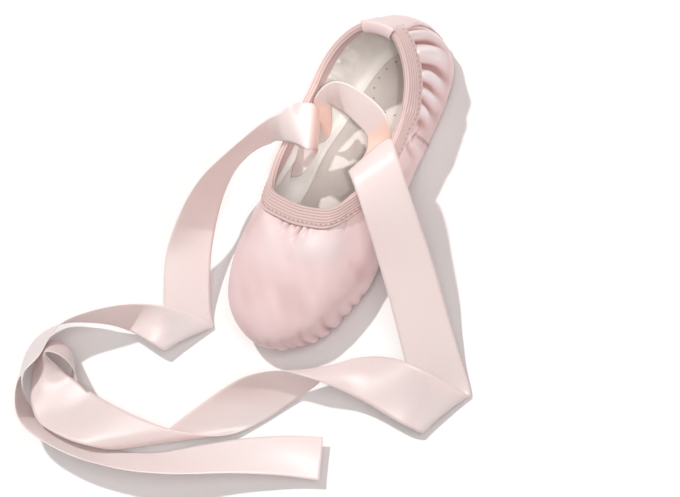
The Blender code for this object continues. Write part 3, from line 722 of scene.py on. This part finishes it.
def skin_chart(rows):
    """For so many rows down the skin: distance down, turn, point and outward direction."""
    down = np.linspace(0.0, 1.0, rows)[:, None] * whole[None, :]
    levels = np.array([np.interp(down[:, i], ways[i], PROFILE_LEVELS) for i in range(AROUND + 1)]).T
    spread = np.broadcast_to(turns[None, :], levels.shape)
    return down, spread, skin(spread, levels), skin_normal(spread, levels)


def gathers(turn):
    """Small pleats round the lower edge: sharp troughs about 5 mm apart, unevenly deep."""
    place = turn * PLEATS_ROUND + 0.35 * np.sin(turn * 46.0) + 0.22 * np.sin(turn * 141.0)
    uneven = 0.65 + 0.35 * np.sin(turn * 97.0 + 1.0) * np.sin(turn * 38.0)
    return -uneven * np.exp(-((np.abs(place % 1.0 - 0.5) / 0.16) ** 2)) + 0.35


down, spread_turns, outside, outward = skin_chart(OUTSIDE_ROWS)
up_from_edge = whole[None, :] - down
creases = [(turn, CREASE_START_MM, *others) for turn, *others in TOE_CREASES]
relief = folds(SATIN_FOLDS, spread_turns, down) + folds(creases, spread_turns, up_from_edge)
toe_or_heel = np.clip((np.abs((spread_turns + 0.5) % 1.0 - 0.5) - 0.24) / -0.05, 0.25, 1.0)
at_heel = np.clip((np.abs(spread_turns % 1.0 - 0.5) - 0.14) / -0.05, 0.0, 0.7)
pleated = np.maximum(toe_or_heel, at_heel)
relief += PLEAT_HEIGHT * pleated * gathers(spread_turns) * np.exp(-((up_from_edge / PLEAT_REACH) ** 2))
below_band = np.clip((down - BAND_EDGE) / BAND_FADE, 0.0, 1.0)
near_band = np.exp(-(((down - PUCKER_DOWN) / 0.005) ** 2))
puckers = np.sin(spread_turns * 2 * np.pi * PUCKERS_ROUND + 3 * np.sin(spread_turns * 40))
relief += PUCKER_HEIGHT * near_band * at_heel * puckers
relief += sum(height * ripple(outside, size, seed) for height, size, seed in UNEVEN)
relief *= below_band
outside = outside + relief[..., None] * outward

inner_down, inner_turns, inside, inner_normal = skin_chart(INSIDE_ROWS)
soft = folds(LINING_FOLDS, inner_turns, inner_down) + LINING_LOOSE * (1 + ripple(inside, 0.022, 5))
soft += np.maximum(-folds(SATIN_FOLDS, inner_turns, inner_down, wider=1.3), 0.0)
soft *= np.clip((inner_down - 0.007) / 0.002, 0.0, 1.0)
inside = inside - (WALL + soft)[..., None] * inner_normal

under = []
over = []
for share in FLOOR_SHARES:
    ring = floor_points(turns, share)
    over.append(ring + WALL * UP)
    pull = PLEAT_PULL * np.clip((share - 0.62) / 0.3, 0.0, 1.0) * pleated[0] * gathers(turns)
    ring[:, 2] += np.maximum(-pull, 0.0)
    under.append(ring)

rings = np.concatenate([np.array(over[::-1]), inside[::-1], outside, np.array(under)])
upper, column, row = sheet("satin_upper", rings)
first_outside = len(over) + INSIDE_ROWS
painted_fold_light_values = np.zeros(rings.shape[:2])
painted_fold_light_values[first_outside : first_outside + OUTSIDE_ROWS] = relief * 1000
# The fold heights outside are kept for the satin's painted shade in troughs and painted highlight on
# ridges.
mark(upper, "painted_fold_light", painted_fold_light_values[row, column])
corner = np.array([polygon.vertices[0] for polygon in upper.data.polygons])
lined = row[corner] < first_outside - 1
upper.data.polygons.foreach_set("material_index", lined.astype(np.int32))
finish_mesh(upper, MERGE)


def on_object(made):
    return add_node(made, "TexCoord", {}).outputs["Object"]


def upper_satin(name, pink):
    """Satin with a broad soft shine across its weave, in painted shade down in the folds and painted
    highlight on top.
    """
    made = new_material(name)
    place = on_object(made)
    # Painted shade and highlight: the fold height, less a random cloud, picks the colour between crease
    # shade and ridge highlight.
    depth = calculate(made, "MULTIPLY_ADD", noise(made, place, 45.0, 3.0), -0.35, stored(made, "painted_fold_light"))
    place_in_fold = add_node(made, "MapRange", {"Value": depth, "From Min": -1.6, "From Max": 1.5})
    dye = add_node(made, "ValToRGB", {"Fac": place_in_fold.outputs["Result"]})
    dye.color_ramp.elements[0].color = SATIN_PAINTED_CREASE_SHADE
    dye.color_ramp.elements[1].color = SATIN_PAINTED_RIDGE_HIGHLIGHT
    dye.color_ramp.elements.new(0.46).color = pink
    return coat(
        made,
        {
            "Base Color": dye.outputs["Color"],
            "Normal": raised(made, noise(made, place, 1400.0, 3.0), 0.50, 0.00010),
            "Roughness": 0.48,
            "Specular IOR Level": 0.85,
            "Sheen Weight": 0.30,
            "Sheen Roughness": 0.40,
        },
    )


def cotton(name, color, scale, depth):
    """Plain woven cotton: two crossing sets of threads and a soft mottling."""
    made = new_material(name)
    place = on_object(made)
    threads = []
    for direction in ("X", "Y"):
        sized = {"Vector": place, "Scale": scale, "Distortion": 1.0}
        threads.append(add_node(made, "TexWave", sized, bands_direction=direction).outputs["Fac"])
    cloud = noise(made, place, 90.0, 4.0)
    dye = mix_dyes(made, cloud, tinted(color, 1.06), tinted(color, (0.86, 0.85, 0.84)))
    return coat(
        made,
        {
            "Base Color": dye,
            "Normal": raised(made, calculate(made, "MULTIPLY", *threads), 0.5, depth),
            "Roughness": 0.88,
            "Specular IOR Level": 0.25,
            "Sheen Weight": 0.15,
        },
    )


upper.data.materials.append(upper_satin("upper_satin", SATIN_PINK))
upper.data.materials.append(cotton("lining", LINING_CREAM, 900.0, 0.00008))
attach(upper, "root")
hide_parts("upper")

# Collar binding
# A folded band of ribbed elastic, dusty pink, sewn over the collar's raw edge with one row of short
# stitches. Its fold makes a lip, and its lower edge is a firm rolled cord. Its colour is painted
# darker in the grooves between the ribs and on its hidden back, as painted shade, and paler on the
# rib tops, those over the lip too, as painted highlight.
BAND_OUTSIDE = 0.0095
BAND_INSIDE = 0.0072
BAND_THICKNESS = 0.0010
BAND_GAP = 0.0004
BAND_GAP_INSIDE = 0.0007
# Band colours: its pink in painted shade, for grooves and its back, and in painted highlight, for the rib
# tops.
BAND_GROOVE_PAINTED_SHADE = (0.450, 0.265, 0.250, 1.0)
BAND_RIB_PAINTED_HIGHLIGHT = (0.720, 0.540, 0.515, 1.0)
BAND_ALONG = 420
RIB = 0.00152
RIB_HEIGHT = 0.00042
LIP_HEIGHT = 0.0013
LIP_GROOVE = 0.22
BACK_SUNK = 0.0001
WAVES_ROUND = 50
WAVE_HEIGHT = 0.00020
OVER_RIM = BAND_GAP + BAND_THICKNESS
TAB_HALF = 0.00975
UNDER_TAB = 0.001


def turn_across(across, down):
    """Turn near the heel's back where the skin, this far down, is at this distance across."""
    near = np.linspace(0.40, 0.60, 161)
    places = wrap(near, np.full(len(near), max(down, 0.0)), 0.0)[:, 0]
    return float(np.interp(-across, -places, near))


def groove(travelled):
    """0 on top of a rib and 1 at the bottom of the groove between two ribs."""
    return 1.0 - abs(math.sin(math.pi * travelled / RIB)) ** 0.6


# Each place of the profile has its distance down, its distance out and how deep in a groove it is.
# That depth also paints the band darker as painted shade. Its hidden back counts as deep in a groove.
band_profile = []
for place_down in np.linspace(BAND_OUTSIDE, 0.0, 50):
    deep = groove(BAND_OUTSIDE - place_down)
    band_profile.append((place_down, OVER_RIM - RIB_HEIGHT * deep, deep))
lip = OVER_RIM + WALL / 2
for angle in np.radians(np.linspace(10, 170, 13)):
    deep = groove(lip * angle * 0.8)
    near = 1.0 - LIP_GROOVE * deep
    place_up = LIP_HEIGHT * math.sin(angle) * near
    band_profile.append((-place_up, lip * math.cos(angle) * near - WALL / 2, deep))
for place_down in np.linspace(0.0, BAND_INSIDE, 34):
    deep = groove(place_down)
    band_profile.append((place_down, RIB_HEIGHT * deep - WALL - BAND_GAP_INSIDE - BAND_THICKNESS, deep))
for place_down in np.linspace(BAND_INSIDE, 0.0, 8):
    band_profile.append((place_down, BACK_SUNK - WALL - BAND_GAP_INSIDE, 1.0))
for place_down in np.linspace(0.0, BAND_OUTSIDE, 8):
    band_profile.append((place_down, BAND_GAP - BACK_SUNK, 1.0))
band_profile.append(band_profile[0])

band_rings = []
for place_down, out, _ in band_profile:
    end = turn_across(TAB_HALF - UNDER_TAB, place_down)
    places = np.linspace(-end, end, BAND_ALONG + 1)
    wave = np.sin(places * 2 * np.pi * WAVES_ROUND + 2 * np.sin(places * 40))
    drawn = WAVE_HEIGHT * max(place_down - BAND_EDGE, 0.0) / (BAND_OUTSIDE - BAND_EDGE) * wave
    band_rings.append(wrap(places % 1.0, place_down, out + drawn))
binding, _, row = sheet("ribbed_band", np.array(band_rings))
# Painted shade deep in the grooves and on the back, painted highlight on the rib tops.
mark(binding, "pale", 1.0 - np.array(band_profile)[row, 2])
finish_mesh(binding, MERGE)


def close_ends(piece):
    """Fill the open ends of the piece that finish_mesh has just finished."""
    bpy.ops.object.mode_set(mode="EDIT")
    bpy.ops.mesh.select_all(action="SELECT")
    bpy.ops.mesh.fill_holes(sides=0)
    bpy.ops.mesh.normals_make_consistent(inside=False)
    bpy.ops.object.mode_set(mode="OBJECT")


close_ends(binding)


def ribbed_elastic():
    made = new_material("ribbed_elastic")
    grain = noise(made, on_object(made), 900.0, 2.0)
    # Painted shade in the grooves and painted highlight on the rib tops, with a random grain over both.
    painted_rib_light_and_grain = calculate(made, "MULTIPLY_ADD", grain, 0.20, stored(made, "pale"))
    return coat(
        made,
        {
            "Base Color": mix_dyes(made, painted_rib_light_and_grain, BAND_GROOVE_PAINTED_SHADE, BAND_RIB_PAINTED_HIGHLIGHT),
            "Normal": raised(made, grain, 0.5, 0.00012),
            "Roughness": 0.62,
            "Specular IOR Level": 0.35,
            "Sheen Weight": 0.25,
        },
    )


binding.data.materials.append(ribbed_elastic())
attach(binding, "root")
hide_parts("collar_binding")

STITCH_DOWN = 0.0072
STITCH_PITCH = 0.0028
STITCH_LENGTH = 0.0019
STITCH_LEAN = 0.00025
STITCH_SUNK = 0.0001
SEAM_END = 0.4785


def thread(name, color):
    made = new_material(name)
    place = on_object(made)
    twist = {"Vector": place, "Scale": 1100.0}
    share = add_node(made, "TexWave", twist, bands_direction="DIAGONAL").outputs["Fac"]
    dye = mix_dyes(made, share, tinted(color, 0.8), tinted(color, 1.0))
    return coat(made, {"Base Color": dye, "Roughness": 0.55})


def sew(name, starts, ends, outs, radius, slot_name, color):
    """Stitches as short thick threads, each bowed out of the cloth between its two holes."""
    bpy.ops.object.select_all(action="DESELECT")
    bpy.ops.mesh.primitive_uv_sphere_add(segments=8, ring_count=6, radius=1.0)
    pattern = bpy.context.object
    shape = np.array([point.co for point in pattern.data.vertices])
    faces = [tuple(polygon.vertices) for polygon in pattern.data.polygons]
    bpy.data.objects.remove(pattern)
    sunk = radius * 0.75 * (1 - shape[:, 2] ** 2) ** 0.5
    points = []
    polygons = []
    for start, end, out in zip(starts, ends, outs):
        length = np.linalg.norm(end - start)
        forward = (end - start) / length
        out = unit(out - (out @ forward) * forward)
        side = np.cross(out, forward)
        first = len(points)
        placed = (start + end) / 2 + np.outer(shape[:, 2] * length * 0.5, forward)
        placed += np.outer(shape[:, 0] * radius, side)
        placed += np.outer(shape[:, 1] * radius + sunk - radius * 0.45, out)
        points += placed.tolist()
        polygons += [tuple(first + i for i in face) for face in faces]
    mesh = bpy.data.meshes.new(name)
    mesh.from_pydata(points, [], polygons)
    piece = add_object(name, mesh)
    finish_mesh(piece)
    piece.data.materials.append(thread(name, color))
    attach(piece, "root")


path_turns = np.linspace(-SEAM_END, SEAM_END, 2400)
travelled = travel(wrap(path_turns % 1.0, STITCH_DOWN, OVER_RIM))
marks = np.arange(0.0, travelled[-1] - STITCH_PITCH, STITCH_PITCH)
first_turns = np.interp(marks, travelled, path_turns) % 1.0
last_turns = np.interp(marks + STITCH_LENGTH, travelled, path_turns) % 1.0
sew(
    "binding_stitches",
    wrap(first_turns, STITCH_DOWN - STITCH_LEAN, OVER_RIM - STITCH_SUNK),
    wrap(last_turns, STITCH_DOWN + STITCH_LEAN, OVER_RIM - STITCH_SUNK),
    skin_normal(first_turns, levels_at(first_turns, np.full(len(marks), STITCH_DOWN))),
    0.00027,
    "collar_binding",
    (0.560, 0.330, 0.310),
)

# Side tack
# A short zigzag seam of dusty pink thread that catches the lining. It is sewn by machine through the
# satin, from the band down the side that lies to the right in the photograph.
TACK_STEPS = 15
TACK_SWING = 0.0022
ABOVE_SATIN = 0.00035
zigzag_down = np.linspace(0.0150, 0.0340, TACK_STEPS)
zigzag_turn = np.linspace(0.3200, 0.3225, TACK_STEPS) + TACK_SWING * (-1.0) ** np.arange(TACK_STEPS)
tack_column = np.rint(zigzag_turn * AROUND).astype(int)
tack_row = np.rint(zigzag_down / whole[tack_column] * (OUTSIDE_ROWS - 1)).astype(int)
zigzag = wrap(zigzag_turn, zigzag_down, relief[tack_row, tack_column] + ABOVE_SATIN)
zigzag_out = skin_normal(zigzag_turn, levels_at(zigzag_turn, zigzag_down))
sew("side_tack", zigzag[:-1], zigzag[1:], zigzag_out[:-1], 0.00026, "upper", (0.690, 0.500, 0.480))

# Suede pads
# Two grey-pink split suede pads, egg-shaped under the forefoot and smaller under the heel. Each is
# sewn on with two rows of pale thread, which sink a little into the nap.
SUEDE = (0.500, 0.445, 0.440)
# Widest place along the shoe, reach to the toe and to the heel, as shares of the length, half width.
PADS = {"front_sole": (0.245, 0.145, 0.220, 0.0304), "heel_sole": (0.825, 0.115, 0.148, 0.0249)}
# Inset and height of each ring of a pad, over its top and down its edge.
PAD_TOP = [(0.0200, TOP_OF_PADS), (0.0060, TOP_OF_PADS), (0.0004, TOP_OF_PADS)]
PAD_EDGE = [(0.0, 0.0014), (0.0, 0.0008), (0.0003, 0.0003), (0.0008, 0.00005)]
PAD_AROUND = 200
SEAM_INSETS = (0.0044, 0.0084)
SEAM_WIDTH = 0.0006
SEAM_DEPTH = 0.00035
PAD_STITCH_PITCH = 0.0050
PAD_STITCH_LENGTH = 0.0039
PAD_STITCH_HEIGHT = 0.00025
FINE_ANGLES = np.linspace(0.0, 2 * np.pi, 1201)


def pad_ring(pad, inset, angles):
    """Points round a pad, drawn in by inset, at height 0."""
    widest, to_toe, to_heel, half_width = pad
    reach = np.where(np.sin(angles) > 0, to_heel, to_toe) * LENGTH - inset
    along = widest * LENGTH - MIDDLE + reach * np.sin(angles)
    return np.stack([(half_width - inset) * np.cos(angles), along, np.zeros(len(angles))], axis=-1)


def toe_lift(along):
    return np.where(along < TOE_LIFT_START, underside(along) - TOP_OF_PADS - GAP, 0.0)


def points_at(line, travelled, places):
    """Points of a closed line at these distances along it."""
    return np.stack([np.interp(places % travelled[-1], travelled, line[:, i]) for i in range(3)], axis=-1)


def suede():
    made = new_material("suede")
    place = on_object(made)
    nap = noise(made, place, 1600.0, 5.0)
    mixed = calculate(made, "ADD", nap, noise(made, place, 70.0, 5.0))
    tone = add_node(made, "MapRange", {"Value": mixed, "From Min": 0.7, "From Max": 1.3}).outputs["Result"]
    return coat(
        made,
        {
            "Base Color": mix_dyes(made, tone, tinted(SUEDE, 0.82), tinted(SUEDE, 1.16)),
            "Normal": raised(made, nap, 0.6, 0.00025),
            "Roughness": 0.95,
            "Specular IOR Level": 0.15,
            "Sheen Weight": 0.35,
            "Sheen Roughness": 0.6,
        },
    )


suede_finish = suede()
angles = np.linspace(0.0, 2 * np.pi, PAD_AROUND + 1)
for pad_name, pad in PADS.items():
    rings = [pad_ring(pad, inset, angles) + height * UP for inset, height in PAD_TOP + PAD_EDGE]
    puckered = 0.6 + 0.4 * np.cos(angles * round(math.tau * pad[3] * 1.2 / PAD_STITCH_PITCH))
    for inset in [*np.linspace(0.0014, 0.0120, 28), 0.0160, 0.0200]:
        sunk = sum(math.exp(-(((inset - seam) / SEAM_WIDTH) ** 2)) for seam in SEAM_INSETS)
        rings.append(pad_ring(pad, inset, angles))
        rings[-1][:, 2] += SEAM_DEPTH * sunk * puckered
    rings = np.array(rings)
    rings[..., 2] += toe_lift(rings[..., 1])
    sole, _, _ = sheet("suede_" + pad_name, rings)
    finish_mesh(sole, MERGE)
    close_ends(sole)
    sole.data.materials.append(suede_finish)
    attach(sole, "root")
    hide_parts(pad_name)
    starts = []
    ends = []
    for seam in SEAM_INSETS:
        line = pad_ring(pad, seam, FINE_ANGLES)
        line[:, 2] += toe_lift(line[:, 1]) + PAD_STITCH_HEIGHT
        travelled = travel(line)
        count = round(travelled[-1] / PAD_STITCH_PITCH)
        marks = np.arange(count) * travelled[-1] / count
        starts += list(points_at(line, travelled, marks))
        ends += list(points_at(line, travelled, marks + PAD_STITCH_LENGTH))
    downward = [-UP] * len(starts)
    sew(pad_name + "_stitches", starts, ends, downward, 0.00030, pad_name, (0.640, 0.590, 0.570))

# Insole
# A thin beige-grey canvas sock, cut a little smaller than the floor inside and glued down. The heel
# pad's stitches come through it as a row of small dark bars.
CANVAS = (0.750, 0.690, 0.655)
INSOLE_THICKNESS = 0.0012
INSOLE_AROUND = 240
INSOLE_BED = WALL + GAP
# Share of the floor and height of each ring, over the underside and up the edge.
INSOLE_EDGE = [(0.0, 0.0), (0.4, 0.0), (0.89, 0.0), (0.9, 0.0004), (0.9, 0.0009), (0.893, INSOLE_THICKNESS)]
BAR_INSET = 0.0075
BAR_PITCH = 0.0062
BAR_LENGTH = 0.0013
BAR_HEIGHT = 0.0001

insole_turns = np.arange(INSOLE_AROUND + 1) / INSOLE_AROUND
insole_rings = []
for share, height in INSOLE_EDGE:
    insole_rings.append(floor_points(insole_turns, share) + (INSOLE_BED + height) * UP)
for share in np.linspace(0.87, 0.0, 16):
    ring = floor_points(insole_turns, share) + (INSOLE_BED + INSOLE_THICKNESS) * UP
    ring[:, 2] += 0.00012 * ripple(ring, 0.017, 4)
    insole_rings.append(ring)
insole, _, _ = sheet("canvas_insole", np.array(insole_rings))
finish_mesh(insole, MERGE)
insole.data.materials.append(cotton("canvas", CANVAS, 520.0, 0.00020))
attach(insole, "root")
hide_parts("insole")

line = pad_ring(PADS["heel_sole"], BAR_INSET, FINE_ANGLES)
line[:, 2] = underside(line[:, 1]) + INSOLE_BED + INSOLE_THICKNESS + BAR_HEIGHT
travelled = travel(line)
marks = np.arange(0.0, travelled[-1], BAR_PITCH)
sew(
    "insole_stitches",
    points_at(line, travelled, marks),
    points_at(line, travelled, marks + BAR_LENGTH),
    [UP] * len(marks),
    0.00028,
    "insole",
    (0.270, 0.235, 0.205),
)

# Heel tab
# A narrow strip of the same satin that runs up the back seam, folds over the rim across the ends of
# the band and is tacked down inside. Its raw edges are turned under and edge-stitched.
TAB_INSIDE = 0.0083
TAB_THICKNESS = 0.0009
TAB_CLOTH = 0.0006
TAB_LOW = 0.0480
TAB_ACROSS = 28
TAB_PINK = (0.850, 0.660, 0.655, 1.0)
TAB_CROWN = 0.0011
TAB_STEP = 0.0009
STAY_PITCH = 0.0026
STAY_LENGTH = 0.0017
STAY_INSET = 0.0016
STAY_HEIGHT = 0.0009


def over_band(down):
    """How far the tab steps out where it crosses the band."""
    return TAB_STEP * np.clip((BAND_OUTSIDE + 0.0012 - down) / 0.002, 0.0, 1.0)


def tab_row(half, down, out):
    """Points across the tab, so far down from the rim and out of the skin."""
    columns = np.linspace(-half, half, TAB_ACROSS + 1)
    marked = columns[[0, TAB_ACROSS // 2, TAB_ACROSS]]
    found = [turn_across(across, down) for across in marked]
    return wrap(np.interp(columns, marked, found), down, out)


edge_roll = np.linspace(-1.0, 1.0, TAB_ACROSS + 1) ** 8
tab_rows = []
for down in np.linspace(TAB_LOW, 0.0, 41):
    half = TAB_HALF * (1.0 - 0.05 * math.cos(down * 300.0))
    out = GAP + (TAB_CROWN + over_band(down)) * (1 - 0.75 * edge_roll)
    tab_rows.append(tab_row(half, down, out))
bend = GAP + TAB_THICKNESS + 0.0012 + WALL / 2
for angle in np.radians(np.linspace(10, 170, 13)):
    down = -0.0014 * math.sin(angle) - 0.0006
    tab_rows.append(tab_row(TAB_HALF, down, bend * math.cos(angle) - WALL / 2))
for share in np.linspace(0.0, 1.0, 10):
    out = -WALL - BAND_GAP_INSIDE - BAND_THICKNESS - 0.0006 + 0.0007 * share**2
    tab_rows.append(tab_row(TAB_HALF * (1 - 0.04 * share), TAB_INSIDE * share, out))
tab_rows = np.array(tab_rows)
tab_rows += 0.00012 * ripple(tab_rows, 0.008, 6)[..., None] * np.array([0.3, 1.0, 0.3])
tab, _, _ = sheet("back_stay", tab_rows)
finish_mesh(tab)
thicken(tab, TAB_CLOTH)
tab.data.materials.append(upper_satin("tab_satin", TAB_PINK))
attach(tab, "root")
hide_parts("heel_tab")

stays = []
for side in (-1, 1):
    for down in np.arange(0.0030, 0.0455, STAY_PITCH):
        downs = np.array([down, down + STAY_LENGTH])
        pair = np.array([turn_across(side * (TAB_HALF - STAY_INSET), place) for place in downs])
        start, end = wrap(pair, downs, GAP + STAY_HEIGHT + over_band(down))
        stays.append((start, end, skin_normal(pair[:1], levels_at(pair[:1], [down]))[0]))
sew("stay_stitches", *zip(*stays), 0.00024, "heel_tab", (0.640, 0.420, 0.410))

# Stage
# A sheet of white paper in daylight: one sun, high on the camera's upper left, a broad pale light
# from behind the camera so that the lining isn't dark, and an even pale sky.
bpy.ops.object.select_all(action="DESELECT")
bpy.ops.mesh.primitive_plane_add(size=6.0, location=(0.0, 0.0, -0.0002))
floor = bpy.context.object
floor.name = "floor"
paper = new_material("floor_paper")
floor.data.materials.append(coat(paper, {"Base Color": (0.93, 0.92, 0.915, 1.0), "Roughness": 0.9}))

# energy, angular size in degrees, colour, direction towards it in the camera's own axes
LIGHTS = {
    "sun": (1.84, 3.0, (1.0, 0.985, 0.970), (-0.52, 0.70, 0.44)),
    "fill": (1.05, 40.0, (1.0, 0.985, 0.975), (0.05, 0.15, 1.00)),
}
for light_name, (energy, wide, color, way) in LIGHTS.items():
    light_data = bpy.data.lights.new(light_name, "SUN")
    light_data.energy = energy
    light_data.angle = math.radians(wide)
    light_data.color = color
    light = add_object(light_name, light_data)
    light.rotation_euler = (facing @ Vector(way)).to_track_quat("Z", "Y").to_euler()

# A narrow spot beside the camera reaches down into the collar, as bounced light does there.
spot_data = bpy.data.lights.new("into_the_shoe", "SPOT")
spot_data.energy = 33.0
spot_data.color = (1.0, 0.975, 0.950)
spot_data.spot_size = math.radians(5.0)
spot_data.spot_blend = 1.0
spot_data.shadow_soft_size = 0.03
spot = add_object("into_the_shoe", spot_data)
inside_shoe = Vector((-0.014, 0.030, 0.028))
spot.location = inside_shoe + facing @ Vector((0.06, -0.03, 1.00))
spot.rotation_euler = (spot.location - inside_shoe).to_track_quat("Z", "Y").to_euler()

sky = bpy.data.worlds.new("sky")
bpy.context.scene.world = sky
sky.use_nodes = True
sky.node_tree.nodes["Background"].inputs["Color"].default_value = (1.0, 0.980, 0.975, 1.0)
sky.node_tree.nodes["Background"].inputs["Strength"].default_value = 0.33
bpy.context.scene.view_settings.view_transform = "Standard"
